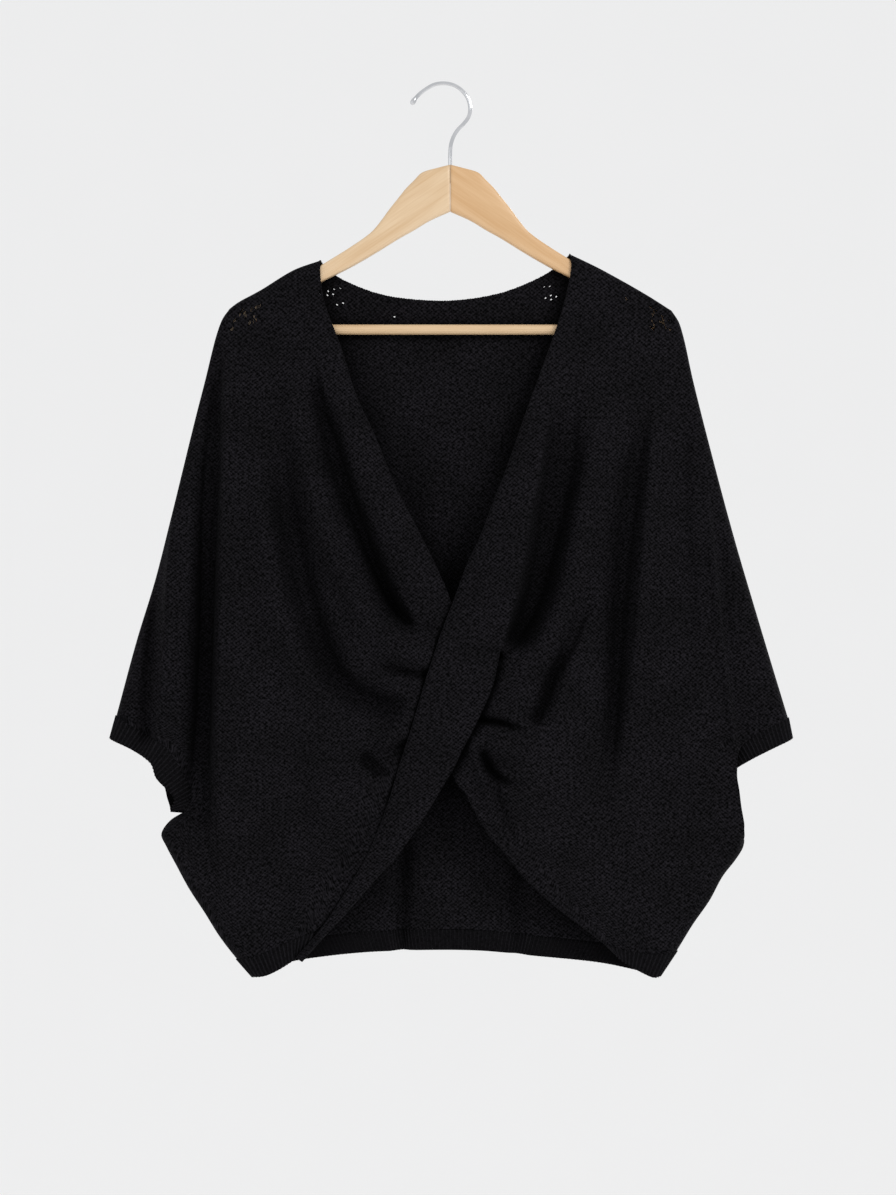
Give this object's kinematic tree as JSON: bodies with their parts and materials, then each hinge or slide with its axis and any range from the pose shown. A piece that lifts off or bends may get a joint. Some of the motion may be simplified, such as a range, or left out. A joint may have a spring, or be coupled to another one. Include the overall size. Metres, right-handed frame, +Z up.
{
  "type": "knitted twist-front poncho on a wooden hanger",
  "caption": "Short knitted poncho with batwing sleeves, ribbed cuffs and hem and a V neck whose band twists across the front, hung on a wooden hanger with a wire hook.",
  "frame": {"origin": "where the hanger's hook rests on a rail: the inner top of the hook", "axes": "+X to the viewer's right, which is the wearer's left, +Y behind the garment, +Z up"},
  "size_m": [0.668, 0.0635, 0.8769],
  "materials": {
    "knit": "matt black moss-stitch knit with ribbed edges",
    "wood": "pale wood with a clear satin varnish",
    "wire": "polished"
  },
  "bodies": {
    "root": {"right_front_panel": "knit", "left_front_panel": "knit", "back_panel": "knit", "right_cuff": "knit", "left_cuff": "knit", "right_front_hem": "knit", "left_front_hem": "knit", "back_hem": "knit", "hanger_right_arm": "wood", "hanger_left_arm": "wood", "hanger_bar": "wood", "hanger_hook": "wire"}
  },
  "joints": []
}
